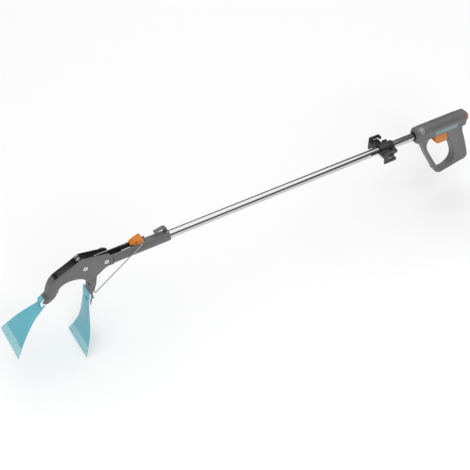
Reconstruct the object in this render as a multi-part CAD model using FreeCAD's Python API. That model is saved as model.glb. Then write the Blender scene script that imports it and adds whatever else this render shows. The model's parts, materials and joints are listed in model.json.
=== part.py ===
import FreeCAD, Part
import math
import os
from FreeCAD import Vector

# Reacher grabber, millimetres.  X runs along the shaft, the head at -X and the handle at +X.
# Z is up, Y is across.  The origin lies on the shaft's axis, above the middle of the grip.

# Driving dimensions
TUBE_R = 8.0                # outer radius of the shaft
TUBE_WALL = 1.2
PIVOT_X = -850.0            # jaw pivot, from the grip
PIVOT_Z = 9.0               # jaw pivot, above the shaft's axis
CLOSING_ANGLE = 42.5        # degrees that the rear jaw turns, from open to closed
LEVER = 20.5                # radius of the jaw's lever pin
FIT = 0.05                  # radial clearance of a running fit
GAP = 0.4                   # side clearance of a moving piece

# Head
PLATE_IN = 8.0              # inner face of a head plate, from the middle plane
PLATE_OUT = 10.5
SEAM_R = 35.0               # arc where the head plates end and the rear jaw begins
RIVET_R = 3.0
RIVET_HOLE_R = 1.8
RIVET_HEAD_R = 4.2
NECK_RIVET = (41.0, 6.0)    # from the pivot's x, and z
JAW_HALF = PLATE_IN - GAP
BLADE = 2.4                 # thickness of a shovel

# Neck, x from the pivot
NECK_FRONT = 30.0
NECK_ROUND = 56.0           # where the flat tongue becomes the round sleeve
SLOT_END = 125.0            # end of the open channel
TUBE_FRONT = 75.0
NECK_END = 171.0
NECK_R = 11.1
CHANNEL = 5.8               # half width inside the channel
RIM_Z = 13.0                # top of the channel's walls

# Slider and wire link, x from the pivot
SLIDER_PIN = (112.0, 15.5)
HOOK = (11.5, -58.0)        # where the wire ends in the rear jaw
HOOK_SLOT = 4.6             # height of the slot that the wire's end moves in
WIRE_R = 1.0
TOP_RIBS = 5
TOP_RIB_PITCH = 2.2
RIB_SLOPE = 0.375            # rise of the slider's top
WIRE_Y = -12.7
SLIDER_REAR = 119.0
SLIDER_LENGTH = 26.0
SLIDER_BLOCK = 14.0         # rear part of the slider, over the channel's full width
SLIDER_NARROW = -4.0        # near side of its front part
RAIL_R = 1.0
RAIL_PLACE = (6.7, 14.0)     # y and z of the rail

# Handle, x from the grip
HANDLE_FRONT = -114.0
TUBE_REAR = -84.0
BARREL_END = 18.0
BARREL_HALF = 14.0
BARREL_LOW = -16.0
BARREL_HIGH = 18.0
WALL = 2.5
LOOP_HALF = 9.5
LOOP_ROUND = 2.5            # edges of the grip and the guard bar
OPENING_ROUND = 1.5         # edges of the finger opening
BARREL_MID = (BARREL_LOW + BARREL_HIGH) / 2

# Clip on the shaft, x from the pivot
CLIP_X = 649.0
CLIP_LENGTH = 32.0
CLIP_R = 11.0
CLIP_SCREW = (16.0, -14.5)  # from the clip's front, and z
CLIP_SCREW_R = 1.6
CLIP_HEAD_R = 3.0
HEX_R = 1.6
LINER = 1.0
FRAME_IN = 25.5             # inner face of a bracket's frame, from the middle plane
FRAME_OUT = 29.0
FRAME_HALF = 14.0           # half height of a bracket
WEB_HALF = 3.5

# Sizes that only some pieces share
ROD_R = 2.0
LATCH_PIVOT = (166.6, 13.4)
LATCH_PIN_R = 1.0
RIVET_HEAD = 1.0
BLOCK_PIN_R = 1.5
BLOCK_PIN_HALF = 6.5
CORE_HALF = 3.0
CORE_OUTLINE = ((-81, -34), (-76.5, -31), (-70, -14), (-60, 0), (-58, -9), (-64, -28),
                (-76, -35.5))
ARM_TOE = (-77.0, -29.5)
ARM_HEEL = (-86.0, -35.4)
ARM_ROUND = 5.0
BLOCK_PINS = ((-66.5, -14.0), (-74.5, -29.5))
HUB_R = 9.0
SPRING_ROOM = 9.4
LEVER_HALF = 2.6
LEVER_PIN_R = 2.0
YOKE_IN = 3.0
YOKE_OUT = 5.2
EYE_PLAY = 1.7
SHOVEL_SEAT = ((3.8, -45.2), (-2.7, -86.2))
KNOB_AXIS = (0.9877, -0.1566)
KNOB = (-4.1, -77.0)
KNOB_R = 2.2
KNOB_REACH = 12.6
KNOB_CAP = 1.2
SLITS = 21
SHOVEL_BASE_HALF = 7.0
CATCH_HALF = 9.0
SLIT_WIDTH = 1.5
SLIT_DEPTH = 18.0
FRONT_BLADE = (
    (-84.0, -44.5, 10.0),
    (-93.5, -50.8, 12.6),
    (-104.7, -57.5, 16.0),
    (-115.9, -65.8, 20.8),
    (-126.7, -75.3, 26.1),
    (-137.0, -86.5, 31.3),
    (-147.2, -98.8, 37.0),
    (-157.5, -111.5, 42.5),
)
REAR_BLADE = (
    (1.0, -54.8, 15.0),
    (-0.7, -65.0, 15.5),
    (-1.2, -68.5, 13.5),
    (-3.95, -86.0, 14.5),
    (-6.5, -104.6, 17.8),
    (-9.0, -123.0, 21.6),
    (-12.7, -141.5, 26.3),
    (-18.0, -157.2, 31.0),
    (-24.7, -171.6, 36.2),
    (-32.0, -184.5, 41.5),
)
BARREL_TOP_R = 13.0
BARREL_LOW_R = 7.0
FRONT_ROUND = 6.0
CHIN = ((-115, -11.3), (-115, -20), (-97, -20), (-97, -16), (-106, -14.2))
REAR_ROUND = 6.0
SCREWS = ((-98.0, 13.0), (-70.5, -64.0), (-39.8, -115.0), (16.0, -74.0), (-6.0, 12.0))
SCREW_BOSS_R = 4.0
SCREW_R = 1.5
SCREW_HEAD_R = 2.8
SCREW_DEPTH = 6.5
SPRING_WALL = (0.0, 3.0)
GUIDE_R = 1.8
TRIGGER_FRONT = -60.0
TRIGGER_HALF = 7.5
TRIGGER_RIBS = 6
PANEL_DEPTH = 1.0
BUTTON_R = 10.5
BUTTON_FLANGE_R = 11.7
BUTTON_FACE = 12.0
BUTTON_END = 24.0


def head(x, z=0.0, y=0.0):
    """A place given from the jaw pivot's x."""
    return Vector(PIVOT_X + x, y, z)


def piece(points):
    """One stretch of an outline: a line, an arc through three points, or a smooth curve."""
    if len(points) == 2:
        return Part.makeLine(points[0], points[1])
    if len(points) == 3:
        return Part.Arc(points[0], points[1], points[2]).toShape()
    curve = Part.BSplineCurve()
    curve.interpolate(points)
    return curve.toShape()


def slab(stretches, low, high, offset=0.0):
    """Outline in the XZ plane, given as stretches that share their end points, pushed along Y."""
    edges = []
    for stretch in stretches:
        points = [Vector(x + offset, low, z) for x, z in stretch]
        edges.append(piece(points))
    face = Part.Face(Part.Wire(edges))
    return face.extrude(Vector(0, high - low, 0))


def straight(points, low, high, offset=0.0):
    """Straight-sided outline in the XZ plane, pushed along Y."""
    corners = [Vector(x + offset, low, z) for x, z in points]
    face = Part.Face(Part.makePolygon(corners + [corners[0]]))
    return face.extrude(Vector(0, high - low, 0))


def box(x0, x1, y0, y1, z0, z1):
    return Part.makeBox(x1 - x0, y1 - y0, z1 - z0, Vector(x0, y0, z0))


def rod_x(radius, x0, x1, z=0.0, y=0.0):
    return Part.makeCylinder(radius, x1 - x0, Vector(x0, y, z), Vector(1, 0, 0))


def rod_y(radius, y0, y1, x, z):
    return Part.makeCylinder(radius, y1 - y0, Vector(x, y0, z), Vector(0, 1, 0))


def coil(radius, wire, pitch, height, origin, axis):
    """Open helical spring that starts at origin and runs along axis."""
    helix = Part.makeHelix(pitch, height, radius)
    ring = Part.Wire(Part.makeCircle(wire, Vector(radius, 0, 0), Vector(0, 1, 0)))
    spring = Part.Wire(helix.Edges).makePipeShell([ring], True, True)
    spring.Placement = FreeCAD.Placement(origin, FreeCAD.Rotation(Vector(0, 0, 1), axis))
    return spring


def wire_run(points, radius, bend):
    """Round wire along straight runs that are joined by tangent arcs."""
    edges = []
    start = points[0]
    for before, corner, after in zip(points, points[1:], points[2:]):
        inward = (before - corner).normalize()
        outward = (after - corner).normalize()
        half = inward.getAngle(outward) / 2
        setback = bend / math.tan(half)
        arc_start = corner + inward * setback
        arc_end = corner + outward * setback
        middle = (inward + outward).normalize()
        arc_middle = corner + middle * (bend / math.sin(half) - bend)
        edges.append(Part.makeLine(start, arc_start))
        edges.append(Part.Arc(arc_start, arc_middle, arc_end).toShape())
        start = arc_end
    edges.append(Part.makeLine(start, points[-1]))
    direction = points[1] - points[0]
    section = Part.Wire(Part.makeCircle(radius, points[0], direction))
    return Part.Wire(edges).makePipeShell([section], True, False)


def mirrored(shape):
    return shape.mirror(Vector(0, 0, 0), Vector(0, 1, 0))


# ---- shaft ----

def tube():
    outer = rod_x(TUBE_R, PIVOT_X + TUBE_FRONT, TUBE_REAR)
    inner = rod_x(TUBE_R - TUBE_WALL, PIVOT_X + TUBE_FRONT, TUBE_REAR)
    return outer.cut(inner)


def end_bush(x, inward, flange_r):
    """Plug in the end of the tube that guides the pull rod; inward is +1 or -1 along X."""
    depth = 8.0
    flange = 1.5
    plug_x = sorted((x, x + inward * depth))
    flange_x = sorted((x, x - inward * flange))
    body = rod_x(TUBE_R - TUBE_WALL, *plug_x).fuse(rod_x(flange_r, *flange_x))
    return body.cut(rod_x(ROD_R + FIT, plug_x[0] - 5, plug_x[1] + 5))


# ---- neck ----

def neck_sleeve():
    end = PIVOT_X + NECK_END
    round_x = PIVOT_X + NECK_ROUND
    slot_end = PIVOT_X + SLOT_END
    front = PIVOT_X + NECK_FRONT
    body = rod_x(NECK_R, round_x, end)
    walls = box(round_x, slot_end, -PLATE_IN, PLATE_IN, 0, RIM_Z)
    tongue = box(front, round_x, -PLATE_IN, PLATE_IN, -NECK_R, RIM_Z)
    tongue = tongue.common(rod_x(NECK_R + RIM_Z - 10, front, round_x, 2))
    body = body.fuse([walls, tongue])
    channel = box(front - 1, slot_end - 4, -CHANNEL, CHANNEL, 0, RIM_Z + 1)
    floor = rod_x(CHANNEL, front - 1, PIVOT_X + TUBE_FRONT)
    body = body.cut([channel, floor, rod_x(TUBE_R, PIVOT_X + TUBE_FRONT, end)])
    for side in (-1, 1):
        low, high = sorted((side * 3.8, side * 6.0))
        ear = box(PIVOT_X + 163, PIVOT_X + 170, low, high, 9.2, 15.5)
        body = body.fuse(ear)
    body = body.cut(rod_y(LATCH_PIN_R, -7, 7, PIVOT_X + LATCH_PIVOT[0], LATCH_PIVOT[1]))
    rivet = rod_y(RIVET_R, -12, 12, PIVOT_X + NECK_RIVET[0], NECK_RIVET[1])
    return body.cut(rivet).removeSplitter()


def latch_tab():
    """Sprung bar on top of the sleeve, with a pawl under its free end."""
    outline = [
        [(142, 19.5), (142, 21.5)],
        [(142, 21.5), (160, 25.3)],
        [(160, 25.3), (163.5, 24.8), (166, 22)],
        [(166, 22), (169.3, 14.5)],
        [(169.3, 14.5), (168.8, 12.4), (166.4, 11.9)],
        [(166.4, 11.9), (164.6, 14.2)],
        [(164.6, 14.2), (161.5, 21.4)],
        [(161.5, 21.4), (159.6, 22.4), (158, 22.2)],
        [(158, 22.2), (147, 19.9)],
        [(147, 19.9), (146, 16.2)],
        [(146, 16.2), (143.5, 16.2)],
        [(143.5, 16.2), (142, 19.5)],
    ]
    tab = slab(outline, -3.5, 3.5, PIVOT_X)
    hole = rod_y(LATCH_PIN_R + FIT, -5, 5, PIVOT_X + LATCH_PIVOT[0], LATCH_PIVOT[1])
    return tab.cut(hole)


def latch_pin():
    return rod_y(LATCH_PIN_R, -6.6, 6.6, PIVOT_X + LATCH_PIVOT[0], LATCH_PIVOT[1])


# ---- head ----

def plate_outline():
    """Head half: cheek round the pivot, tail over the neck, and the fixed front arm."""
    tail = (20.3, PIVOT_Z - math.sqrt(SEAM_R ** 2 - 20.3 ** 2))
    root = (-0.8, PIVOT_Z - math.sqrt(SEAM_R ** 2 - 0.8 ** 2))
    return [
        [ARM_TOE, (-75.6, -23), (-72, -11.5), (-66, 0), (-57, 8.5)],
        [(-57, 8.5), (-48, 13), (-35, 18.5), (-19, 26), (-9.5, 31)],
        [(-9.5, 31), (-4.5, 32.6), (2, 32.2)],
        [(2, 32.2), (10, 30.4), (26, 27.2), (42, 22.8)],
        [(42, 22.8), (50.5, 17.5), (53.2, 9)],
        [(53.2, 9), (53.4, 0), (50, -5)],
        [(50, -5), (38, -8.5), (28, -14.5), tail],
        [tail, (9.5, PIVOT_Z - math.sqrt(SEAM_R ** 2 - 9.5 ** 2)), root],
        [root, (-3, -19), (-7, -14.6), (-13, -11)],
        [(-13, -11), (-25.5, -7.6), (-38, -7.4), (-49, -11.4), (-56, -18.5), (-61.5, -29)],
        [(-61.5, -29), (-66, -33.2), (-79.8, -40)],
        [(-79.8, -40), ARM_HEEL],
        [ARM_HEEL, (-79, -31.2)],
        [(-79, -31.2), ARM_TOE],
    ]


def arm_room():
    """Space between the head's halves; it narrows to an open slot along the arm's top."""
    outline = [(-59.5, 40), (-58.5, 12), (-52, 5), (-47, -3), (-45, -22), (-40, -50),
               (90, -50), (90, 60), (-59.5, 60)]
    return straight(outline, -PLATE_IN, PLATE_IN, PIVOT_X)


def head_plate():
    """Head half on the -Y side: a thick arm with a rounded front, and a thin cheek."""
    half = slab(plate_outline(), -PLATE_OUT, 0, PIVOT_X)
    outer = [edge for edge in half.Edges if edge.BoundBox.YMax < -PLATE_OUT + 0.1]
    front = [edge for edge in outer if edge.CenterOfMass.x < PIVOT_X - 58
             and edge.BoundBox.ZMax > 5]
    half = half.makeFillet(ARM_ROUND, front)
    core = straight(CORE_OUTLINE, -CORE_HALF, CORE_HALF, PIVOT_X)
    pivot = rod_y(RIVET_R, -20, 0, PIVOT_X, PIVOT_Z)
    rivet = rod_y(RIVET_R, -20, 0, PIVOT_X + NECK_RIVET[0], NECK_RIVET[1])
    pins = [rod_y(BLOCK_PIN_R, -BLOCK_PIN_HALF, 0, PIVOT_X + x, z) for x, z in BLOCK_PINS]
    return half.cut([arm_room(), core, pivot, rivet] + pins)


def arm_block():
    """Core between the head's halves, inside the front arm."""
    block = straight(CORE_OUTLINE, -CORE_HALF, CORE_HALF, PIVOT_X)
    pins = [rod_y(BLOCK_PIN_R, -20, 20, PIVOT_X + x, z) for x, z in BLOCK_PINS]
    return block.cut(pins)


def arm_pins():
    """Blind dowels that join the head's halves through the core."""
    pins = [rod_y(BLOCK_PIN_R, -BLOCK_PIN_HALF, BLOCK_PIN_HALF, PIVOT_X + x, z)
            for x, z in BLOCK_PINS]
    return Part.makeCompound(pins)


def tubular_rivet(x, z, inner, outer):
    """Hollow rivet along Y from inner to outer; a head sits on each plate that it reaches."""
    body = rod_y(RIVET_R, inner, outer, PIVOT_X + x, z)
    if outer > PLATE_OUT:
        body = body.fuse(rod_y(RIVET_HEAD_R, PLATE_OUT, outer, PIVOT_X + x, z))
    if inner < -PLATE_OUT:
        body = body.fuse(rod_y(RIVET_HEAD_R, inner, -PLATE_OUT, PIVOT_X + x, z))
    return body.cut(rod_y(RIVET_HOLE_R, -20, 20, PIVOT_X + x, z))


def pivot_rivet():
    end = PLATE_OUT + RIVET_HEAD
    return tubular_rivet(0, PIVOT_Z, -end, end)


def neck_rivets():
    end = PLATE_OUT + RIVET_HEAD
    near = tubular_rivet(*NECK_RIVET, -end, -CHANNEL)
    return Part.makeCompound([near, mirrored(near)])


def jaw_spring():
    """Torsion spring beside the jaw's hub, round the pivot."""
    turns = 2
    wire = 0.6
    pitch = 1.6
    start = head(0, PIVOT_Z, -PLATE_IN + wire + 0.1)
    return coil(8.0, wire, pitch, pitch * turns, start, Vector(0, 1, 0))


# ---- rear jaw ----

def rear_jaw():
    """Hub and lever between the head plates, and the prong below the seam."""
    seam = SEAM_R + 0.6
    back = (19.5, PIVOT_Z - math.sqrt(seam ** 2 - 19.5 ** 2))
    front = (1.0, PIVOT_Z - math.sqrt(seam ** 2 - 1.0))
    middle = (10.5, PIVOT_Z - math.sqrt(seam ** 2 - 10.5 ** 2))
    prong_outline = [
        [front, middle, back],
        [back, (17.6, -32), (15.6, -41), (11.8, -51)],
        [(11.8, -51), (8.6, -57), (5.6, -66), (3.4, -76)],
        [(3.4, -76), (2.2, -82), (-0.6, -87)],
        [(-0.6, -87), (SHOVEL_SEAT[1][0], SHOVEL_SEAT[1][1])],
        [SHOVEL_SEAT[1], SHOVEL_SEAT[0]],
        [SHOVEL_SEAT[0], (5.2, -39), (4.2, -32), front],
    ]
    prong = slab(prong_outline, -PLATE_OUT, PLATE_OUT, PIVOT_X)
    web = straight([(-8, 4), (8.5, 6), (18.5, -18.5), (17, -30), (5, -30), (1.5, -25)],
                   -JAW_HALF, JAW_HALF, PIVOT_X)
    web = web.cut(rod_y(SPRING_ROOM, -PLATE_IN, -3.4, PIVOT_X, PIVOT_Z))
    hub = rod_y(HUB_R, -3.4, JAW_HALF, PIVOT_X, PIVOT_Z)
    pin_x, pin_z = lever_pin_place()
    arm = straight([(-8.4, 7), (pin_x - 4, pin_z), (pin_x + 4, pin_z), (7, 14)],
                   -LEVER_HALF, LEVER_HALF, PIVOT_X)
    eye = rod_y(4.0, -LEVER_HALF, LEVER_HALF, PIVOT_X + pin_x, pin_z)
    lug = straight([(6, -47), (14.2, -50), (14.2, -60.5), (6, -63)], -3.5, 3.5, PIVOT_X)
    body = prong.fuse([web, hub, arm, eye, lug])
    pocket = straight([(-6, -30), (8, -30), (11, -43), (-6, -43)], -7.5, 7.5, PIVOT_X)
    slot = box(PIVOT_X + HOOK[0] - 2.4, PIVOT_X + HOOK[0] + 1.3, -4, 4, HOOK[1], HOOK[1] + HOOK_SLOT)
    slot_low = rod_y(1.3, -4, 4, PIVOT_X + HOOK[0], HOOK[1])
    slot_high = rod_y(1.85, -4, 4, PIVOT_X + HOOK[0] - 0.55, HOOK[1] + HOOK_SLOT)
    pivot = rod_y(RIVET_R + FIT, -20, 20, PIVOT_X, PIVOT_Z)
    lever_hole = rod_y(LEVER_PIN_R, -9, 9, PIVOT_X + pin_x, pin_z)
    knob = knob_body(KNOB_R, 20)
    wire_room = box(PIVOT_X + 8.3, PIVOT_X + 30, -20, -3.5, -64, -49.5)
    body = body.cut([pocket, slot, slot_low, slot_high, pivot, lever_hole, knob, wire_room])
    return body.removeSplitter()


def lever_pin_place():
    """Lever pin at rest, half the closing angle before the top."""
    half = math.radians(CLOSING_ANGLE / 2)
    return -LEVER * math.sin(half), PIVOT_Z + LEVER * math.cos(half)


def lever_pin():
    pin_x, pin_z = lever_pin_place()
    return rod_y(LEVER_PIN_R, -6.4, 6.4, PIVOT_X + pin_x, pin_z)


# ---- shovels ----

def blade(stations):
    """Thin flaring plate through stations of x, z and half width."""
    sections = []
    for index, (x, z, half) in enumerate(stations):
        before = stations[max(index - 1, 0)]
        after = stations[min(index + 1, len(stations) - 1)]
        along = Vector(after[0] - before[0], 0, after[1] - before[1]).normalize()
        side = Vector(along.z, 0, -along.x) * (BLADE / 2)
        place = head(x, z)
        across = Vector(0, half, 0)
        corners = [place + side + across, place + side - across,
                   place - side - across, place - side + across]
        sections.append(Part.makePolygon(corners + [corners[0]]))
    return Part.makeLoft(sections, True, True)


def comb(shape, stations, count, depth):
    """Cuts slits into the blade's edge; they fan out as its sides do."""
    x1, z1, half = stations[-1]
    x0, z0, half_before = stations[-2]
    stretch = Vector(x1 - x0, 0, z1 - z0)
    flare = math.degrees(math.atan((half - half_before) / stretch.Length))
    turn = FreeCAD.Rotation(Vector(0, 0, -1), stretch)
    slits = []
    for index in range(count):
        share = 2 * (index + 1) / (count + 1) - 1
        lean = FreeCAD.Rotation(Vector(1, 0, 0), flare * share)
        slit = Part.makeBox(20, SLIT_WIDTH, depth + 5, Vector(-10, -SLIT_WIDTH / 2, -5))
        slit.Placement = FreeCAD.Placement(head(x1, z1, half * share), turn.multiply(lean))
        slits.append(slit)
    return shape.cut(slits)


def front_shovel():
    shell = comb(blade(FRONT_BLADE), FRONT_BLADE, SLITS, SLIT_DEPTH)
    base = straight([(-56, -19.5), (-62.5, -30.4), (-66.5, -33.8), (-80.2, -40.5), (-86.9, -35.6),
                     (-81.5, -31.6), (-84, -29.2), (-90.5, -34), (-91, -43), (-88, -48),
                     (-68, -39.5), (-58, -31), (-53.5, -22)],
                    -SHOVEL_BASE_HALF, SHOVEL_BASE_HALF, PIVOT_X)
    catch = straight([(-58.5, -24.5), (-61, -29), (-60, -33), (-55.5, -28), (-54.5, -24)],
                     -CATCH_HALF, CATCH_HALF, PIVOT_X)
    arm = slab(plate_outline(), -PLATE_OUT - 1, PLATE_OUT + 1, PIVOT_X)
    return shell.fuse([base, catch]).cut(arm).removeSplitter()


def rear_shovel():
    shell = comb(blade(REAR_BLADE), REAR_BLADE, SLITS, SLIT_DEPTH)
    return shell.cut(knob_body(KNOB_R, 20))


def knob_body(radius, length):
    """Cylinder through the prong near its tip, square to the shovel's seat."""
    start = head(KNOB[0], KNOB[1])
    direction = Vector(KNOB_AXIS[0], 0, KNOB_AXIS[1])
    return Part.makeCylinder(radius, length, start, direction)


def shovel_knob():
    """Snap stud that holds the rear shovel on the prong."""
    start = head(KNOB[0], KNOB[1])
    direction = Vector(KNOB_AXIS[0], 0, KNOB_AXIS[1])
    front = start - direction * KNOB_CAP
    stud = Part.makeCylinder(KNOB_R, KNOB_REACH + KNOB_CAP + 2.4, front, direction)
    front_cap = Part.makeCylinder(4.2, KNOB_CAP, front, direction)
    rear_cap = Part.makeCylinder(4.2, 2.0, start + direction * KNOB_REACH, direction)
    return stud.fuse(front_cap).fuse(rear_cap).removeSplitter()


# ---- slider and wire ----

def slider():
    """Narrow front and full-width rear over the channel, a keel in it, ribs across the top."""
    rear = SLIDER_REAR
    front = rear - SLIDER_LENGTH
    low = RIM_Z + 0.3
    profile = [(front, low), (front, 15.5), (rear - 19, 20.5), (rear - 7, 25),
               (rear - 3, 24), (rear, 16), (rear, low)]
    body = straight(profile, SLIDER_NARROW, JAW_HALF, PIVOT_X)
    block = straight(profile, -JAW_HALF, SLIDER_NARROW, PIVOT_X)
    block = block.common(box(PIVOT_X + rear - SLIDER_BLOCK, PIVOT_X + rear, -20, 20, 0, 40))
    keel = box(PIVOT_X + rear - 20, PIVOT_X + rear - 5, -CHANNEL + GAP, CHANNEL - GAP, 8.9, low)
    body = body.fuse([block, keel])
    hole = rod_y(WIRE_R + FIT, -20, -3.9, PIVOT_X + SLIDER_PIN[0], SLIDER_PIN[1])
    rail_y, rail_z = RAIL_PLACE
    room = RAIL_R + 0.1
    groove = rod_x(room, PIVOT_X + 20, PIVOT_X + 140, rail_z, rail_y)
    mouth = box(PIVOT_X + 20, PIVOT_X + 140, rail_y - room, rail_y + 5, 10, rail_z)
    cuts = [hole, groove, mouth]
    for index in range(TOP_RIBS):
        x = PIVOT_X + rear - 17.5 + index * TOP_RIB_PITCH
        z = 21.0 + index * TOP_RIB_PITCH * RIB_SLOPE
        cuts.append(box(x - 0.45, x + 0.45, -10, 10, z, z + 10))
    return body.cut(cuts).removeSplitter()


def guide_rail():
    """Steel rail on the far rim of the channel; the slider runs along it."""
    return rod_x(RAIL_R, PIVOT_X + 24, PIVOT_X + SLOT_END - 1, RAIL_PLACE[1], RAIL_PLACE[0])


def wire_link():
    """Bent wire: one end turns in the slider, the other ends in the rear jaw's slot."""
    points = [
        head(*SLIDER_PIN, -4.0),
        head(*SLIDER_PIN, WIRE_Y),
        head(*HOOK, WIRE_Y),
        head(*HOOK, 3.2),
    ]
    return wire_run(points, WIRE_R, 2.0)


# ---- drive ----

def pull_rod():
    return rod_x(ROD_R, PIVOT_X + 50, TRIGGER_FRONT + 6)


def rod_yoke():
    """Two strips from the pull rod's front end up to the jaw's lever pin."""
    pin_x, pin_z = lever_pin_place()
    body = box(PIVOT_X + 44, PIVOT_X + 54, -YOKE_OUT, YOKE_OUT, -2, 4)
    for side in (-1, 1):
        low, high = sorted((side * YOKE_IN, side * YOKE_OUT))
        strip = straight([(46, -2), (50, 1.5), (pin_x + 1.4, pin_z + 4.6), (pin_x - 3, pin_z)],
                         low, high, PIVOT_X)
        eye = rod_y(5.2, low, high, PIVOT_X + pin_x, pin_z + 0.7)
        body = body.fuse([strip, eye])
    slot = box(PIVOT_X + pin_x - 2.1, PIVOT_X + pin_x + 2.1, -9, 9, pin_z, pin_z + EYE_PLAY)
    slot_low = rod_y(2.1, -9, 9, PIVOT_X + pin_x, pin_z)
    slot_high = rod_y(2.1, -9, 9, PIVOT_X + pin_x, pin_z + EYE_PLAY)
    room = box(PIVOT_X - 20, PIVOT_X + 44, -YOKE_IN, YOKE_IN, -5, 40)
    bore = rod_x(ROD_R, PIVOT_X + 50, PIVOT_X + 60)
    return body.cut([slot, slot_low, slot_high, room, bore]).removeSplitter()


def rod_anchor():
    """Ferrule that clamps the pull rod in front of the trigger."""
    collar = rod_x(4.4, TRIGGER_FRONT - 10, TRIGGER_FRONT)
    groove = rod_x(5, TRIGGER_FRONT - 6, TRIGGER_FRONT - 4).cut(
        rod_x(3.6, TRIGGER_FRONT - 6, TRIGGER_FRONT - 4))
    return collar.cut([groove, rod_x(ROD_R, TRIGGER_FRONT - 11, TRIGGER_FRONT + 1)])


# ---- handle ----

def barrel(shrink, x0, x1):
    """Rounded box round the shaft's end; shrink moves its sides inwards."""
    half = BARREL_HALF - shrink
    low = BARREL_LOW + shrink
    high = BARREL_HIGH - shrink
    body = box(x0, x1, -half, half, low, high)
    along = [edge for edge in body.Edges if abs(edge.tangentAt(0).x) > 0.9]
    top = [edge for edge in along if edge.CenterOfMass.z > 0]
    body = body.makeFillet(BARREL_TOP_R - shrink, top)
    bottom = [edge for edge in body.Edges if edge.BoundBox.ZMax < low + 0.1
              and edge.BoundBox.XLength > 1]
    return body.makeFillet(BARREL_LOW_R - shrink, bottom)


def loop_outline():
    """Outside of the grip and the guard bar, closed inside the barrel."""
    return [
        [(-104, -6), (-106, -13)],
        [(-106, -13), (-92.3, -31), (-76.3, -60.9), (-60.2, -89.1), (-47, -112)],
        [(-47, -112), (-39.5, -123), (-28, -127.2)],
        [(-28, -127.2), (27, -116.4)],
        [(27, -116.4), (37.5, -113.5), (41, -104.5)],
        [(41, -104.5), (37.5, -92), (30.8, -73.2), (20.3, -45.4), (13.2, -27), (12.4, -14)],
        [(12.4, -14), (12.4, -6)],
        [(12.4, -6), (-104, -6)],
    ]


def finger_outline():
    """Opening for the fingers, closed inside the barrel."""
    return [
        [(-70, -12), (-30, -12)],
        [(-30, -12), (-27, -26), (-21, -40), (-11.5, -57), (-2, -78), (2.2, -94), (0, -107.5),
         (-8.5, -116.5), (-19.5, -120.6), (-28, -120), (-34, -114.5), (-41.5, -104.5),
         (-49.4, -92), (-62.6, -70.6), (-74.5, -50.1), (-80, -36), (-79, -23), (-70, -12)],
    ]


def grip_cavity():
    outline = [(-6, -52), (15, -48), (26.5, -75), (35.5, -98), (36, -105), (32, -110),
               (8, -114), (6.5, -96), (2, -76)]
    boss = rod_y(SCREW_BOSS_R, -LOOP_HALF, LOOP_HALF, *SCREWS[3])
    return straight(outline, -LOOP_HALF + WALL, LOOP_HALF - WALL).cut(boss)


def soften(plate, radius):
    """Rounds the sharp edges of the handle's loop below the barrel."""
    sharp = [edge for edge in plate.Edges if abs(edge.CenterOfMass.y) > LOOP_HALF - 0.1
             and edge.BoundBox.ZMax < 0 and edge.CenterOfMass.z < BARREL_LOW]
    return plate.makeFillet(radius, sharp)


def handle_body():
    solid = barrel(0, HANDLE_FRONT, BARREL_END)
    rear_edges = [edge for edge in solid.Edges if edge.BoundBox.XMin > BARREL_END - 0.1]
    solid = solid.makeFillet(REAR_ROUND, rear_edges)
    front_edges = [edge for edge in solid.Edges if edge.BoundBox.XMax < HANDLE_FRONT + 0.1]
    solid = solid.makeFillet(FRONT_ROUND, front_edges)
    solid = solid.cut(straight(CHIN, -BARREL_HALF - 1, BARREL_HALF + 1))
    loop = soften(slab(loop_outline(), -LOOP_HALF, LOOP_HALF), LOOP_ROUND)
    loop = soften(loop.cut(slab(finger_outline(), -40, 40)), OPENING_ROUND)
    solid = solid.fuse(loop)
    front_room = barrel(WALL, TUBE_REAR, SPRING_WALL[0])
    front_room = front_room.cut(rod_y(SCREW_BOSS_R, -BARREL_HALF, BARREL_HALF, *SCREWS[4]))
    button_room = rod_x(BUTTON_FLANGE_R + 0.3, SPRING_WALL[1], BARREL_END - 3, BARREL_MID)
    button_mouth = rod_x(BUTTON_R + 0.15, BARREL_END - 4, BARREL_END + 1, BARREL_MID)
    socket = rod_x(TUBE_R, HANDLE_FRONT - 1, TUBE_REAR + 1)
    mouth = rod_x(TUBE_R + 1.6, HANDLE_FRONT - 1, HANDLE_FRONT + 3)
    pocket = box(TRIGGER_FRONT - 2, -5, -TRIGGER_HALF - GAP, TRIGGER_HALF + GAP, -43, -4)
    guide = rod_x(GUIDE_R, SPRING_WALL[0] - 1, SPRING_WALL[1] + 1)
    panel = panel_shape(0.0)
    solid = solid.cut([front_room, button_room, button_mouth, socket, mouth, pocket, guide,
                       grip_cavity(), panel])
    for x, z in SCREWS:
        head_room = rod_y(SCREW_HEAD_R, SCREW_DEPTH, 30, x, z)
        solid = solid.cut([rod_y(SCREW_R, -SCREW_DEPTH, 30, x, z), head_room])
    return solid


def handle_half(side):
    """Half of the handle: side +1 is the +Y shell, -1 the -Y shell."""
    low, high = sorted((0.0, side * 60.0))
    return handle_body().common(box(-200, 100, low, high, -200, 100))


def handle_screws():
    screws = []
    for x, z in SCREWS:
        length_high = SCREW_DEPTH + 2.2
        shank = rod_y(SCREW_R, -SCREW_DEPTH, length_high, x, z)
        cap = rod_y(SCREW_HEAD_R, SCREW_DEPTH, length_high, x, z)
        cross = box(x - 1.8, x + 1.8, length_high - 1, length_high + 1, z - 0.4, z + 0.4)
        cross = cross.fuse(box(x - 0.4, x + 0.4, length_high - 1, length_high + 1, z - 1.8, z + 1.8))
        screws.append(shank.fuse(cap).cut(cross))
    return Part.makeCompound(screws)


def panel_shape(inset):
    """Thin plain panel let into the -Y side of the barrel."""
    x0, x1 = -66.0 + inset, -9.0 - inset
    z0, z1 = -9.0 + inset, 1.5 - inset
    return box(x0, x1, -BARREL_HALF - 1, -BARREL_HALF + PANEL_DEPTH, z0, z1)


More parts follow.
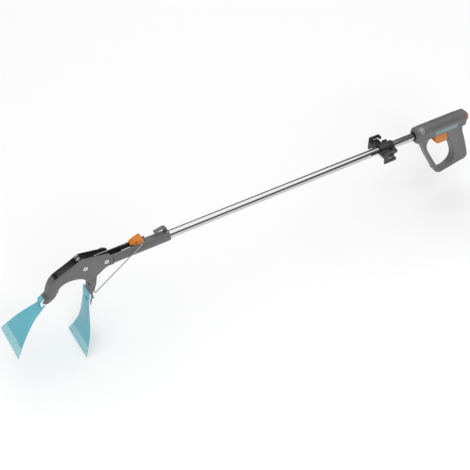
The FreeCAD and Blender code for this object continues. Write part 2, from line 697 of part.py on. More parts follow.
def side_panel():
    panel = panel_shape(0.1)
    return panel.common(box(-90, 30, -BARREL_HALF, 0, -20, 20))


def trigger():
    """Sliding top with a finger piece below it."""
    f = TRIGGER_FRONT
    top = box(f, f + 30, -6, 6, -10, 8)
    stem = box(f, f + 30, -TRIGGER_HALF, TRIGGER_HALF, -20, -10)
    finger = slab([
        [(f, -20), (f + 36, -20)],
        [(f + 36, -20), (f + 36, -37.5)],
        [(f + 36, -37.5), (f + 34.8, -40.2), (f + 32, -41)],
        [(f + 32, -41), (f + 13, -41)],
        [(f + 13, -41), (f + 5.5, -37), (f + 1.6, -30), (f, -20)],
    ], -TRIGGER_HALF, TRIGGER_HALF)
    ribs = []
    for index in range(TRIGGER_RIBS):
        z = -21.5 - 2.4 * index
        ribs.append(box(f - 2, f + 1.0 + 0.18 * index ** 2, -9, 9, z - 0.5, z + 0.5))
    body = top.fuse([stem, finger])
    rod_bore = rod_x(ROD_R, f - 1, f + 6)
    guide_bore = rod_x(GUIDE_R + 0.1, f + 10, f + 31)
    return body.cut([rod_bore, guide_bore] + ribs).removeSplitter()


def guide_pin():
    """Pin behind the trigger that carries its return spring."""
    wall = SPRING_WALL[0]
    pin = rod_x(GUIDE_R, wall - 15, SPRING_WALL[1])
    return pin.fuse(rod_x(6.0, wall - 2, wall))


def trigger_spring():
    wire = 0.55
    start = TRIGGER_FRONT + 30 + wire + 0.1
    length = SPRING_WALL[0] - 2 - wire - 0.1 - start
    return coil(4.2, wire, length / 6, length, Vector(start, 0, 0), Vector(1, 0, 0))


def rear_button():
    cap = rod_x(BUTTON_R, BUTTON_FACE, BUTTON_END, BARREL_MID)
    rim = [edge for edge in cap.Edges if edge.BoundBox.XMin > BUTTON_END - 0.1]
    cap = cap.makeFillet(4.0, rim)
    flange = rod_x(BUTTON_FLANGE_R, BUTTON_FACE - 1, BARREL_END - 3, BARREL_MID)
    recess = rod_x(4.6, BUTTON_FACE - 2, BUTTON_FACE + 4, BARREL_MID)
    return cap.fuse(flange).cut(recess).removeSplitter()


def button_spring():
    wire = 0.4
    start = SPRING_WALL[1] + wire + 0.1
    length = BUTTON_FACE + 4 - wire - 0.1 - start
    return coil(3.6, wire, length / 5, length, Vector(start, 0, BARREL_MID), Vector(1, 0, 0))


# ---- clip ----

def clip_liner():
    outer = rod_x(TUBE_R + FIT + LINER, PIVOT_X + CLIP_X, PIVOT_X + CLIP_X + CLIP_LENGTH)
    return outer.cut(rod_x(TUBE_R + FIT, PIVOT_X + CLIP_X - 1, PIVOT_X + CLIP_X + CLIP_LENGTH + 1))


def clip_arm():
    """Bracket on the -Y side: a web and an open frame with a turned lip at its top."""
    x = PIVOT_X + CLIP_X
    web = box(x - 5, x + 17, -FRAME_OUT, -CLIP_R + 1.5, -WEB_HALF, WEB_HALF)
    post = box(x - 5, x + 3, -FRAME_OUT, -FRAME_IN, -FRAME_HALF, FRAME_HALF)
    top = box(x - 5, x + 19, -FRAME_OUT, -FRAME_IN, FRAME_HALF - 6, FRAME_HALF)
    foot = box(x - 5, x + 23, -FRAME_OUT, -FRAME_IN, -FRAME_HALF, -FRAME_HALF + 6)
    lip = box(x + 15.5, x + 19, -FRAME_OUT, -19, FRAME_HALF - 6, FRAME_HALF)
    toe = box(x + 19.5, x + 23, -FRAME_OUT, -20, -FRAME_HALF, -FRAME_HALF + 6)
    tab = box(x + 22, x + 32, -20, -CLIP_R + 1.5, -5, 2)
    return web.fuse([post, top, foot, lip, toe, tab])


def accessory_clip():
    """Ring on the shaft with a bracket on each side and a split boss for its screw."""
    x = PIVOT_X + CLIP_X
    inner = TUBE_R + 2 * FIT + LINER
    ring = rod_x(CLIP_R, x, x + CLIP_LENGTH)
    boss = box(x + 8, x + 24, -5.5, 5.5, -19, -8)
    near = clip_arm()
    body = ring.fuse([boss, near, mirrored(near)])
    bore = rod_x(inner, x - 1, x + CLIP_LENGTH + 1)
    split = box(x - 1, x + CLIP_LENGTH + 1, -0.8, 0.8, -25, -inner + 0.5)
    screw = rod_y(CLIP_SCREW_R, -6, 6, x + CLIP_SCREW[0], CLIP_SCREW[1])
    return body.cut([bore, split, screw]).removeSplitter()


def clip_screw():
    """Cap screw with a hexagon socket, along Y."""
    x = PIVOT_X + CLIP_X + CLIP_SCREW[0]
    z = CLIP_SCREW[1]
    shank = rod_y(CLIP_SCREW_R, -5.5, 5.5, x, z)
    cap = rod_y(CLIP_HEAD_R, -8.3, -5.5, x, z)
    corners = []
    for index in range(6):
        turn = math.radians(60 * index)
        corners.append((x + HEX_R * math.cos(turn), z + HEX_R * math.sin(turn)))
    return shank.fuse(cap).cut(straight(corners, -8.4, -6.5))


def clip_nut():
    x = PIVOT_X + CLIP_X + CLIP_SCREW[0]
    z = CLIP_SCREW[1]
    return rod_y(CLIP_HEAD_R, 5.5, 8.0, x, z).cut(rod_y(CLIP_SCREW_R, 5.0, 9.0, x, z))


NODES = {
    "tube": tube,
    "front_rod_bush": lambda: end_bush(PIVOT_X + TUBE_FRONT, 1, TUBE_R - 2.5),
    "rear_rod_bush": lambda: end_bush(TUBE_REAR, -1, 10.5),
    "neck_sleeve": neck_sleeve,
    "latch_tab": latch_tab,
    "latch_pin": latch_pin,
    "head_plate_right": head_plate,
    "head_plate_left": lambda: mirrored(head_plate()),
    "arm_block": arm_block,
    "arm_pins": arm_pins,
    "pivot_rivet": pivot_rivet,
    "neck_rivets": neck_rivets,
    "jaw_spring": jaw_spring,
    "rear_jaw": rear_jaw,
    "lever_pin": lever_pin,
    "front_shovel": front_shovel,
    "rear_shovel": rear_shovel,
    "shovel_knob": shovel_knob,
    "guide_rail": guide_rail,
    "slider": slider,
    "wire_link": wire_link,
    "pull_rod": pull_rod,
    "rod_yoke": rod_yoke,
    "rod_anchor": rod_anchor,
    "handle_shell_left": lambda: handle_half(1),
    "handle_shell_right": lambda: handle_half(-1),
    "handle_screws": handle_screws,
    "side_panel": side_panel,
    "trigger": trigger,
    "trigger_guide_pin": guide_pin,
    "trigger_spring": trigger_spring,
    "rear_button": rear_button,
    "button_spring": button_spring,
    "clip_liner": clip_liner,
    "accessory_clip": accessory_clip,
    "clip_screw": clip_screw,
    "clip_nut": clip_nut,
}

os.makedirs("parts", exist_ok=True)
for name, build in NODES.items():
    shape = build()
    shape.exportStep("parts/" + name + ".step")
    print(name, len(shape.Solids), shape.isValid(), round(shape.Volume))
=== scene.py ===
import json
import math
import bmesh
import bpy
from mathutils import Matrix, Vector


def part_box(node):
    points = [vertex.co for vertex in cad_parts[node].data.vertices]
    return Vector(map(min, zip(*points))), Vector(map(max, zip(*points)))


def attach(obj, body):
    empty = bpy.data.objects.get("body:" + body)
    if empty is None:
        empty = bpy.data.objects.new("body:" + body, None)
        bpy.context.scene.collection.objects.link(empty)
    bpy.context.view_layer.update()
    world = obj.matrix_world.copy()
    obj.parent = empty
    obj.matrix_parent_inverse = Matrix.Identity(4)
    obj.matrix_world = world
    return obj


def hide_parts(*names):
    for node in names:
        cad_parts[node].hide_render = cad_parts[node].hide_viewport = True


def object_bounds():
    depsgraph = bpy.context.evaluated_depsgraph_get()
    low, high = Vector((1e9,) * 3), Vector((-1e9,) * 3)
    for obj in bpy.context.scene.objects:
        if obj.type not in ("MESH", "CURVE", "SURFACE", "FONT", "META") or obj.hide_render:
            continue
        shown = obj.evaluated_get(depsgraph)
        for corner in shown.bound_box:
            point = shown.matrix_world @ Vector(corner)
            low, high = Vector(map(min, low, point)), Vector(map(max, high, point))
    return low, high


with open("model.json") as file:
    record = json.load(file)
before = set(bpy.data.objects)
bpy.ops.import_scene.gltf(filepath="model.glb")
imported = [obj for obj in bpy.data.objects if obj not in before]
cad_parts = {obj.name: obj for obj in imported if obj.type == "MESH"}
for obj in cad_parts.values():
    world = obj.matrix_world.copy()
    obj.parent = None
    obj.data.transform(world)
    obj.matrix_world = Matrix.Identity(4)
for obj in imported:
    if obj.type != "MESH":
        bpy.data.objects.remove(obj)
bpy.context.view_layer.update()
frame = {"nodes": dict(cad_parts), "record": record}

nodes = frame["nodes"]
scene = bpy.context.scene

# ---------------------------------------------------------------- places, from the frame

pivot_low, pivot_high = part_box("pivot_rivet")
PIVOT = (pivot_low + pivot_high) / 2
MM = 0.001

HORIZON_LIGHT = 0.14
CEILING_LIGHT = 1.5
FRONT_POWER = 50.0
BACK_POWER = 14.0


def body_name(node):
    for body, members in frame["record"]["behaviour"]["bodies"].items():
        if node in members:
            return body
    return None


def slot_name(node):
    for entry in frame["record"]["subparts"]:
        if entry["node"] == node:
            return entry["material_slot"]
    return None


# ---------------------------------------------------------------- shader groups

def new_group(name, inputs, outputs):
    """Shader node group with named inputs (name, kind, default) and outputs (name, kind)."""
    group = bpy.data.node_groups.new(name, "ShaderNodeTree")
    for label, kind, default in inputs:
        socket = group.interface.new_socket(label, in_out="INPUT", socket_type=kind)
        socket.default_value = default
    for label, kind in outputs:
        group.interface.new_socket(label, in_out="OUTPUT", socket_type=kind)
    start = group.nodes.new("NodeGroupInput")
    end = group.nodes.new("NodeGroupOutput")
    return group, start, end


def add(tree, kind, **values):
    """New node with its plain settings and input defaults."""
    node = tree.nodes.new(kind)
    for key, value in values.items():
        if hasattr(node, key):
            setattr(node, key, value)
        else:
            node.inputs[key.replace("_", " ")].default_value = value
    return node


def moulded_grain_group():
    """Fine spark-eroded grain of moulded plastic, with slow colour drift and small scuffs."""
    group, start, end = new_group(
        "moulded_grain",
        [("Color", "NodeSocketColor", (0.5, 0.5, 0.5, 1)),
         ("Scuff Color", "NodeSocketColor", (0.6, 0.6, 0.6, 1)),
         ("Grain Scale", "NodeSocketFloat", 2200.0),
         ("Grain Depth", "NodeSocketFloat", 0.12),
         ("Roughness", "NodeSocketFloat", 0.5),
         ("Scuffs", "NodeSocketFloat", 0.3)],
        [("Color", "NodeSocketColor"), ("Roughness", "NodeSocketFloat"),
         ("Normal", "NodeSocketVector")])
    link = group.links.new
    place = add(group, "ShaderNodeTexCoord")
    grain = add(group, "ShaderNodeTexNoise", Detail=3.0, Roughness=0.6)
    link(place.outputs["Object"], grain.inputs["Vector"])
    link(start.outputs["Grain Scale"], grain.inputs["Scale"])
    drift = add(group, "ShaderNodeTexNoise", Scale=14.0, Detail=4.0)
    link(place.outputs["Object"], drift.inputs["Vector"])
    stretch = add(group, "ShaderNodeMapping", Scale=(60.0, 420.0, 420.0), Rotation=(0.3, 0.5, 0.2))
    link(place.outputs["Object"], stretch.inputs["Vector"])
    scratch = add(group, "ShaderNodeTexNoise", Scale=1.0, Detail=5.0, Roughness=0.7)
    link(stretch.outputs["Vector"], scratch.inputs["Vector"])
    scuff = add(group, "ShaderNodeMapRange", From_Min=0.62, From_Max=0.78)
    link(scratch.outputs["Fac"], scuff.inputs["Value"])
    edge = add(group, "ShaderNodeNewGeometry")
    worn = add(group, "ShaderNodeMapRange", From_Min=0.53, From_Max=0.62)
    link(edge.outputs["Pointiness"], worn.inputs["Value"])
    broken = add(group, "ShaderNodeMath", operation="MULTIPLY")
    link(worn.outputs["Result"], broken.inputs[0])
    link(drift.outputs["Fac"], broken.inputs[1])
    total = add(group, "ShaderNodeMath", operation="ADD", use_clamp=True)
    link(scuff.outputs["Result"], total.inputs[0])
    link(broken.outputs[0], total.inputs[1])
    amount = add(group, "ShaderNodeMath", operation="MULTIPLY")
    link(total.outputs[0], amount.inputs[0])
    link(start.outputs["Scuffs"], amount.inputs[1])
    tone = add(group, "ShaderNodeHueSaturation")
    lightness = add(group, "ShaderNodeMapRange", To_Min=0.9, To_Max=1.1)
    link(drift.outputs["Fac"], lightness.inputs["Value"])
    link(lightness.outputs["Result"], tone.inputs["Value"])
    link(start.outputs["Color"], tone.inputs["Color"])
    mix = add(group, "ShaderNodeMix", data_type="RGBA")
    link(amount.outputs[0], mix.inputs["Factor"])
    link(tone.outputs["Color"], mix.inputs[6])
    link(start.outputs["Scuff Color"], mix.inputs[7])
    link(mix.outputs[2], end.inputs["Color"])
    rough = add(group, "ShaderNodeMath", operation="MULTIPLY_ADD")
    spread = add(group, "ShaderNodeMath", operation="SUBTRACT")
    link(drift.outputs["Fac"], spread.inputs[0])
    spread.inputs[1].default_value = 0.5
    link(spread.outputs[0], rough.inputs[0])
    rough.inputs[1].default_value = 0.3
    link(start.outputs["Roughness"], rough.inputs[2])
    link(rough.outputs[0], end.inputs["Roughness"])
    bump = add(group, "ShaderNodeBump", Distance=0.0004)
    link(start.outputs["Grain Depth"], bump.inputs["Strength"])
    link(grain.outputs["Fac"], bump.inputs["Height"])
    link(bump.outputs["Normal"], end.inputs["Normal"])
    return group


def drawn_metal_group():
    """Lines of drawing or polishing along X, with faint smears."""
    group, start, end = new_group(
        "drawn_metal",
        [("Color", "NodeSocketColor", (0.8, 0.8, 0.8, 1)),
         ("Roughness", "NodeSocketFloat", 0.2),
         ("Line Depth", "NodeSocketFloat", 0.05),
         ("Along", "NodeSocketVector", (4.0, 900.0, 900.0))],
        [("Color", "NodeSocketColor"), ("Roughness", "NodeSocketFloat"),
         ("Normal", "NodeSocketVector")])
    link = group.links.new
    place = add(group, "ShaderNodeTexCoord")
    stretch = add(group, "ShaderNodeVectorMath", operation="MULTIPLY")
    link(place.outputs["Object"], stretch.inputs[0])
    link(start.outputs["Along"], stretch.inputs[1])
    lines = add(group, "ShaderNodeTexNoise", Scale=1.0, Detail=4.0, Roughness=0.65)
    link(stretch.outputs["Vector"], lines.inputs["Vector"])
    smear = add(group, "ShaderNodeTexNoise", Scale=22.0, Detail=5.0, Roughness=0.6)
    link(place.outputs["Object"], smear.inputs["Vector"])
    tone = add(group, "ShaderNodeHueSaturation")
    light = add(group, "ShaderNodeMapRange", To_Min=0.93, To_Max=1.05)
    link(lines.outputs["Fac"], light.inputs["Value"])
    link(light.outputs["Result"], tone.inputs["Value"])
    link(start.outputs["Color"], tone.inputs["Color"])
    link(tone.outputs["Color"], end.inputs["Color"])
    smudge = add(group, "ShaderNodeMapRange", From_Min=0.4, From_Max=0.8, To_Max=0.12)
    link(smear.outputs["Fac"], smudge.inputs["Value"])
    rough = add(group, "ShaderNodeMath", operation="ADD")
    link(smudge.outputs["Result"], rough.inputs[0])
    link(start.outputs["Roughness"], rough.inputs[1])
    link(rough.outputs[0], end.inputs["Roughness"])
    bump = add(group, "ShaderNodeBump", Distance=0.0002)
    link(start.outputs["Line Depth"], bump.inputs["Strength"])
    link(lines.outputs["Fac"], bump.inputs["Height"])
    link(bump.outputs["Normal"], end.inputs["Normal"])
    return group


def hollow_mask_group():
    """1 inside a hollow round the middle plane, between two X places and above a height."""
    group, start, end = new_group(
        "hollow_mask",
        [("Start X", "NodeSocketFloat", 0.0), ("End X", "NodeSocketFloat", 0.0),
         ("Half Width", "NodeSocketFloat", 0.0), ("Low Z", "NodeSocketFloat", 0.0)],
        [("Mask", "NodeSocketFloat")])
    link = group.links.new
    place = add(group, "ShaderNodeTexCoord")
    axes = add(group, "ShaderNodeSeparateXYZ")
    link(place.outputs["Object"], axes.inputs[0])
    width = add(group, "ShaderNodeMath", operation="ABSOLUTE")
    link(axes.outputs["Y"], width.inputs[0])
    tests = []
    for first, second in ((axes.outputs["X"], start.outputs["Start X"]),
                          (start.outputs["End X"], axes.outputs["X"]),
                          (start.outputs["Half Width"], width.outputs[0]),
                          (axes.outputs["Z"], start.outputs["Low Z"])):
        test = add(group, "ShaderNodeMath", operation="GREATER_THAN")
        link(first, test.inputs[0])
        link(second, test.inputs[1])
        tests.append(test.outputs[0])
    total = tests[0]
    for test in tests[1:]:
        both = add(group, "ShaderNodeMath", operation="MULTIPLY")
        link(total, both.inputs[0])
        link(test, both.inputs[1])
        total = both.outputs[0]
    link(total, end.inputs["Mask"])
    return group


GRAIN = moulded_grain_group()
DRAWN = drawn_metal_group()
HOLLOW = hollow_mask_group()


def material(name, group, inputs, **constants):
    """Principled material fed by one of the shared groups."""
    made = bpy.data.materials.new(name)
    made.use_nodes = True
    tree = made.node_tree
    shader = tree.nodes["Principled BSDF"]
    for key, value in constants.items():
        shader.inputs[key.replace("_", " ")].default_value = value
    detail = tree.nodes.new("ShaderNodeGroup")
    detail.node_tree = group
    for key, value in inputs.items():
        detail.inputs[key].default_value = value
    tree.links.new(detail.outputs["Color"], shader.inputs["Base Color"])
    tree.links.new(detail.outputs["Roughness"], shader.inputs["Roughness"])
    tree.links.new(detail.outputs["Normal"], shader.inputs["Normal"])
    return made


def plastic(name, color, scuff, roughness=0.5, grain=0.12, scale=2200.0, scuffs=0.25, **constants):
    inputs = {"Color": (*color, 1), "Scuff Color": (*scuff, 1), "Roughness": roughness,
              "Grain Depth": grain, "Grain Scale": scale, "Scuffs": scuffs}
    return material(name, GRAIN, inputs, **constants)


def metal(name, color, roughness, depth=0.05, along=(4.0, 900.0, 900.0)):
    inputs = {"Color": (*color, 1), "Roughness": roughness, "Line Depth": depth, "Along": along}
    return material(name, DRAWN, inputs, Metallic=1.0)


def lay_over(made, mask, color):
    """Mixes a colour over a material's base colour where the mask socket is 1."""
    tree = made.node_tree
    base = tree.nodes["Principled BSDF"].inputs["Base Color"]
    source = base.links[0].from_socket
    mix = add(tree, "ShaderNodeMix", data_type="RGBA")
    tree.links.new(mask, mix.inputs["Factor"])
    tree.links.new(source, mix.inputs[6])
    mix.inputs[7].default_value = (*color, 1)
    tree.links.new(mix.outputs[2], base)
    return made


def paint_hollow_shade(made, start, end, half_width, low, color):
    """Paints shade on the inner faces of a hollow piece: darkens them as the shadow between its
    walls.
    """
    mask = made.node_tree.nodes.new("ShaderNodeGroup")
    mask.node_tree = HOLLOW
    mask.inputs["Start X"].default_value = start
    mask.inputs["End X"].default_value = end
    mask.inputs["Half Width"].default_value = half_width
    mask.inputs["Low Z"].default_value = low
    return lay_over(made, mask.outputs["Mask"], color)


def paint_slit_light(made, color):
    """Paints light on all faces square to Y: brightens the walls of a comb's slits and a piece's
    outer sides as a painted highlight.
    """
    tree = made.node_tree
    surface = add(tree, "ShaderNodeNewGeometry")
    axes = add(tree, "ShaderNodeSeparateXYZ")
    tree.links.new(surface.outputs["True Normal"], axes.inputs[0])
    across = add(tree, "ShaderNodeMath", operation="ABSOLUTE")
    tree.links.new(axes.outputs["Y"], across.inputs[0])
    wall = add(tree, "ShaderNodeMapRange", From_Min=0.8, From_Max=0.9)
    tree.links.new(across.outputs[0], wall.inputs["Value"])
    return lay_over(made, wall.outputs["Result"], color)


GREY = (0.128, 0.128, 0.130)
GREY_SCUFF = (0.25, 0.25, 0.25)
# near-black painted shade for the inner faces of hollow pieces
INNER_SHADE = (0.016, 0.016, 0.017)
TURQUOISE = (0.145, 0.47, 0.57)
TURQUOISE_SCUFF = (0.4, 0.68, 0.74)

FINISHES = {
    "grey_plastic": plastic("grey_plastic", GREY, GREY_SCUFF, 0.44),
    "dark_plastic": plastic("dark_plastic", (0.028, 0.028, 0.03), (0.08, 0.08, 0.08), 0.5),
    "orange_plastic": plastic("orange_plastic", (0.60, 0.185, 0.012), (0.8, 0.38, 0.14), 0.42,
                              grain=0.06, scuffs=0.12),
    "turquoise_plastic": plastic("turquoise_plastic", TURQUOISE, TURQUOISE_SCUFF, 0.34,
                                 grain=0.05, scuffs=0.15),
    "polished_tube": metal("polished_tube", (0.57, 0.57, 0.575), 0.07, 0.03),
    "steel": metal("steel", (0.62, 0.62, 0.64), 0.22, 0.05),
    "spring_steel": metal("spring_steel", (0.42, 0.42, 0.44), 0.26, 0.05, (300.0, 300.0, 300.0)),
    "bright_rivet": metal("bright_rivet", (0.88, 0.88, 0.89), 0.12, 0.03, (500.0, 20.0, 500.0)),
    "black_plastic": plastic("black_plastic", (0.016, 0.016, 0.017), (0.1, 0.1, 0.1), 0.38),
    "rubber": plastic("rubber", (0.02, 0.02, 0.02), (0.06, 0.06, 0.06), 0.75, grain=0.25),
    "panel": plastic("panel", (0.17, 0.255, 0.275), (0.5, 0.62, 0.64), 0.3, grain=0.04, scuffs=0.3),
}

# Pieces with a finish of their own: the head's halves and the neck get painted shade, near-black,
# on their inner faces, the shovels' slits and side edges get painted light, and the boss is a
# lighter grey as a painted highlight
CHEEK_ROOM = 8.1 * MM
CHANNEL_ROOM = 6.0 * MM
ROOM_FRONT = 58 * MM
ROOM_REAR = 80 * MM
CHANNEL_END = 122 * MM
ROOM_LOW = -50 * MM
# painted light: the pale colour laid on the comb's slit walls and side edges
SLIT_PAINTED_LIGHT = (0.75, 0.93, 0.96)

# painted shade on the inner faces of the head's halves and of the neck's channel
head_grey_painted_shade = paint_hollow_shade(plastic("head_grey_painted_shade", GREY, GREY_SCUFF, 0.44),
                         PIVOT.x - ROOM_FRONT, PIVOT.x + ROOM_REAR, CHEEK_ROOM, ROOM_LOW, INNER_SHADE)
neck_grey_painted_shade = paint_hollow_shade(plastic("neck_grey_painted_shade", GREY, GREY_SCUFF, 0.44),
                         PIVOT.x, PIVOT.x + CHANNEL_END, CHANNEL_ROOM, 0.0, INNER_SHADE)
comb_turquoise_painted_light = paint_slit_light(plastic("comb_turquoise_painted_light", TURQUOISE, TURQUOISE_SCUFF, 0.34,
                                     grain=0.05, scuffs=0.15), SLIT_PAINTED_LIGHT)
SHADED = {
    "head_plate_right": head_grey_painted_shade,
    "head_plate_left": head_grey_painted_shade,
    "neck_sleeve": neck_grey_painted_shade,
    "front_shovel": comb_turquoise_painted_light,
    "rear_shovel": comb_turquoise_painted_light,
    # the boss's lighter grey is a painted highlight of its rounded shoulder
    "shoulder_boss": plastic("boss_painted_highlight", (0.25, 0.25, 0.252), (0.4, 0.4, 0.4), 0.36),
}

# ---------------------------------------------------------------- making pieces

SHARP = math.radians(28)
MERGE = 1e-6                # metres within which vertices are one
COPLANAR = math.radians(0.5)
BEVEL_FROM = math.radians(25)


def finish_mesh(bm, name, node=None, slot=None, body=None, replaces=()):
    """Turns a bmesh into a piece that rides on a body and takes a slot's material."""
    bmesh.ops.remove_doubles(bm, verts=bm.verts, dist=MERGE)
    bmesh.ops.recalc_face_normals(bm, faces=bm.faces)
    mesh = bpy.data.meshes.new(name)
    bm.to_mesh(mesh)
    bm.free()
    for face in mesh.polygons:
        face.use_smooth = True
    mesh.set_sharp_from_angle(angle=SHARP)
    piece = bpy.data.objects.new(name, mesh)
    scene.collection.objects.link(piece)
    slot = slot or slot_name(node)
    mesh.materials.append(SHADED.get(node or name, FINISHES[slot]))
    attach(piece, body or body_name(node))
    if node:
        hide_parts(node, *replaces)
    return piece


def rounded_copy(node, width):
    """Copy of a CAD piece with its coplanar faces joined and its edges rounded."""
    bm = bmesh.new()
    bm.from_mesh(nodes[node].data)
    bmesh.ops.remove_doubles(bm, verts=bm.verts, dist=MERGE)
    bmesh.ops.dissolve_limit(bm, angle_limit=COPLANAR, verts=bm.verts, edges=bm.edges)
    edges = [e for e in bm.edges if e.is_manifold and e.calc_face_angle(0.0) > BEVEL_FROM]
    if width:
        bmesh.ops.bevel(bm, geom=edges, offset=width, offset_type="OFFSET", affect="EDGES",
                        segments=2, profile=0.5, material=-1, clamp_overlap=True)
    return finish_mesh(bm, node + "_rounded", node)


# Widths of rounded edges, in mm
BEVELS = {
    "handle_shell_left": 0.6, "handle_shell_right": 0.6, "neck_sleeve": 0.6,
    "head_plate_right": 0.7, "head_plate_left": 0.7, "rear_jaw": 0.7,
    "slider": 0.5, "trigger": 0.35, "rear_button": 0.3, "latch_tab": 0.5,
    "front_shovel": 0.15, "rear_shovel": 0.15, "accessory_clip": 0.5, "tube": 0.25,
}
SMALL_EDGE = 0.2
SPRINGS = ("jaw_spring", "trigger_spring", "button_spring")

for name in nodes:
    width = 0.0 if name in SPRINGS else BEVELS.get(name, SMALL_EDGE)
    rounded_copy(name, width * MM)

# ---------------------------------------------------------------- handle details

shell_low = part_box("handle_shell_right")[0]
BARREL_TOP = 0.018
CORNER_R = 0.013
CORNER_Y = 0.001
CORNER_Z = BARREL_TOP - CORNER_R
RIB_FLANK = math.radians(78)
RIB_STEPS = 9
RIB_R = 0.55 * MM
RIB_START = 12 * MM
RIB_COUNT = 27
RIB_PITCH = 3.8 * MM


def top_rib(bm, x):
    """Half-sunk bead over the barrel's top, from one flank to the other."""
    ring = bmesh.ops.create_circle(bm, cap_ends=False, segments=10, radius=RIB_R)
    turn = Matrix.Rotation(math.radians(-90), 4, "X")
    place = Vector((x, CORNER_Y + CORNER_R * math.sin(RIB_FLANK),
                    CORNER_Z + CORNER_R * math.cos(RIB_FLANK)))
    tilt = Matrix.Rotation(-RIB_FLANK, 4, "X")
    bmesh.ops.transform(bm, verts=ring["verts"], matrix=Matrix.Translation(place) @ tilt @ turn)
    edges = list({e for v in ring["verts"] for e in v.link_edges})
    bmesh.ops.contextual_create(bm, geom=edges)
    done = bmesh.ops.spin(bm, geom=edges, cent=(x, CORNER_Y, CORNER_Z), axis=(1, 0, 0),
                          angle=RIB_FLANK, steps=RIB_STEPS)
    edges = [e for e in done["geom_last"] if isinstance(e, bmesh.types.BMEdge)]
    done = bmesh.ops.extrude_edge_only(bm, edges=edges)
    verts = [v for v in done["geom"] if isinstance(v, bmesh.types.BMVert)]
    bmesh.ops.translate(bm, verts=verts, vec=(0, -2 * CORNER_Y, 0))
    edges = [e for e in done["geom"] if isinstance(e, bmesh.types.BMEdge)
             and all(v in verts for v in e.verts)]
    done = bmesh.ops.spin(bm, geom=edges, cent=(x, -CORNER_Y, CORNER_Z), axis=(1, 0, 0),
                          angle=RIB_FLANK, steps=RIB_STEPS)
    edges = [e for e in done["geom_last"] if isinstance(e, bmesh.types.BMEdge)]
    bmesh.ops.contextual_create(bm, geom=edges)


bm = bmesh.new()
for index in range(RIB_COUNT):
    top_rib(bm, shell_low.x + RIB_START + index * RIB_PITCH)
finish_mesh(bm, "barrel_ribs", slot="grey_plastic", body="frame")

BOSS = Vector((-0.101, -0.0091, 0.0151))
BOSS_R = 9.5 * MM
BOSS_RISE = 2.0 * MM
BOSS_SKIRT = 2.5 * MM
bm = bmesh.new()
bmesh.ops.create_uvsphere(bm, u_segments=40, v_segments=24, radius=BOSS_R)
bmesh.ops.bisect_plane(bm, geom=bm.verts[:] + bm.edges[:] + bm.faces[:], dist=MERGE,
                       plane_co=(0, 0, BOSS_R - 2 * BOSS_RISE), plane_no=(0, 0, 1),
                       clear_inner=True)
rim = [e for e in bm.edges if e.is_boundary]
skirt = bmesh.ops.extrude_edge_only(bm, edges=rim)
low_rim = [v for v in skirt["geom"] if isinstance(v, bmesh.types.BMVert)]
bmesh.ops.translate(bm, verts=low_rim, vec=(0, 0, -BOSS_SKIRT))
bmesh.ops.contextual_create(bm, geom=[e for e in bm.edges if e.is_boundary])
outward = Vector((-0.15, -0.62, 0.78)).normalized()
turn = outward.to_track_quat("Z", "Y").to_matrix().to_4x4()
centre = BOSS - outward * (BOSS_R - BOSS_RISE)
bmesh.ops.transform(bm, verts=bm.verts, matrix=Matrix.Translation(centre) @ turn)
finish_mesh(bm, "shoulder_boss", slot="grey_plastic", body="frame")

# ---------------------------------------------------------------- rivet bores

rivet_low, rivet_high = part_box("neck_rivets")
NECK_RIVET = Vector(((rivet_low.x + rivet_high.x) / 2, 0, (rivet_low.z + rivet_high.z) / 2))


PLUG_R = 3.3 * MM
PLUG_Y = 11.2 * MM
PLUG_DEPTH = 1.0 * MM


def bore_shade_plug(name, place, side):
    """Dark plug in a hollow rivet's bore, painted shade that stands for the dark inside of the
    hole; its face lies just below the rivet's.
    """
    bm = bmesh.new()
    bmesh.ops.create_circle(bm, cap_ends=True, segments=28, radius=PLUG_R)
    outer = [e for e in bm.edges if e.is_boundary]
    wall = bmesh.ops.extrude_edge_only(bm, edges=outer)
    deep = [v for v in wall["geom"] if isinstance(v, bmesh.types.BMVert)]
    bmesh.ops.translate(bm, verts=deep, vec=(0, 0, -PLUG_DEPTH))
    bmesh.ops.contextual_create(bm, geom=[e for e in bm.edges if e.is_boundary])
    turn = Matrix.Rotation(math.radians(90 if side < 0 else -90), 4, "X")
    bmesh.ops.transform(bm, verts=bm.verts,
                        matrix=Matrix.Translation((place.x, side * PLUG_Y, place.z)) @ turn)
    finish_mesh(bm, name, slot="rubber", body="frame")


# dark plugs as painted shade inside the hollow rivets' bores
for side, label in ((-1, "near"), (1, "far")):
    bore_shade_plug("pivot_bore_shade_" + label, PIVOT, side)
    bore_shade_plug("neck_bore_shade_" + label, NECK_RIVET, side)

# ---------------------------------------------------------------- floor, light, camera

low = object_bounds()[0]

FLOOR_HALF = 8.0
FLOOR_DROP = 1.5 * MM

floor_mesh = bpy.data.meshes.new("floor")
bm = bmesh.new()
bmesh.ops.create_grid(bm, x_segments=1, y_segments=1, size=FLOOR_HALF)
bmesh.ops.translate(bm, verts=bm.verts, vec=(-0.5, 0, low.z - FLOOR_DROP))
bm.to_mesh(floor_mesh)
bm.free()
floor = bpy.data.objects.new("floor", floor_mesh)
scene.collection.objects.link(floor)
pale = bpy.data.materials.new("pale_floor")
pale.use_nodes = True
matt = pale.node_tree.nodes["Principled BSDF"]
matt.inputs["Base Color"].default_value = (0.93, 0.93, 0.93, 1)
matt.inputs["Roughness"].default_value = 0.95
floor_mesh.materials.append(pale)

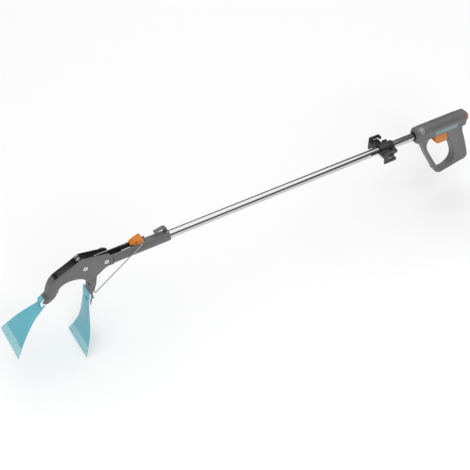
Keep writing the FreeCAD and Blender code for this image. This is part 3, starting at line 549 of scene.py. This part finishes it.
# Overhead soft light with a dim horizon; the camera itself sees a plain pale background
world = bpy.data.worlds.new("studio")
scene.world = world
world.use_nodes = True
sky = world.node_tree
air = sky.nodes["Background"]
heading = add(sky, "ShaderNodeTexCoord")
height = add(sky, "ShaderNodeSeparateXYZ")
sky.links.new(heading.outputs["Generated"], height.inputs[0])
ceiling = add(sky, "ShaderNodeMapRange", interpolation_type="SMOOTHSTEP",
              From_Min=0.62, From_Max=0.76, To_Min=HORIZON_LIGHT, To_Max=CEILING_LIGHT)
sky.links.new(height.outputs["Z"], ceiling.inputs["Value"])
ray = add(sky, "ShaderNodeLightPath")
seen = add(sky, "ShaderNodeMix", data_type="FLOAT")
sky.links.new(ray.outputs["Is Camera Ray"], seen.inputs["Factor"])
sky.links.new(ceiling.outputs["Result"], seen.inputs["A"])
seen.inputs["B"].default_value = 1.0
sky.links.new(seen.outputs["Result"], air.inputs["Strength"])
air.inputs["Color"].default_value = (1, 1, 1, 1)


MIDDLE = Vector((-0.45, 0, 0))
LAMP_SIZE = (2.4, 1.6)


def lamp(name, place, power):
    """Soft rectangular light that looks at the middle of the object."""
    light = bpy.data.lights.new(name, "AREA")
    light.shape = "RECTANGLE"
    light.size, light.size_y = LAMP_SIZE
    light.energy = power
    holder = bpy.data.objects.new(name, light)
    scene.collection.objects.link(holder)
    holder.location = place
    holder.rotation_euler = (MIDDLE - Vector(place)).to_track_quat("-Z", "Y").to_euler()
    holder.visible_glossy = False


lamp("front_light", (-1.2, -3.0, 2.2), FRONT_POWER)
lamp("back_light", (0.4, 2.6, 2.4), BACK_POWER)

EYE = Vector((PIVOT.x - 0.4075, -1.2238, 1.3195))
FORWARD = Vector((0.36259, 0.61547, -0.69981))
RIGHT = Vector((0.86160, -0.50759, 0.0))
LENS = 78.42
SENSOR = 36.0
eye = bpy.data.cameras.new("camera")
eye.lens = LENS
eye.sensor_width = SENSOR
camera = bpy.data.objects.new("camera", eye)
scene.collection.objects.link(camera)
up = RIGHT.cross(FORWARD)
turn = Matrix((RIGHT, up, -FORWARD)).transposed()
camera.matrix_world = Matrix.Translation(EYE) @ turn.to_4x4()
scene.camera = camera

scene.view_settings.view_transform = "Standard"
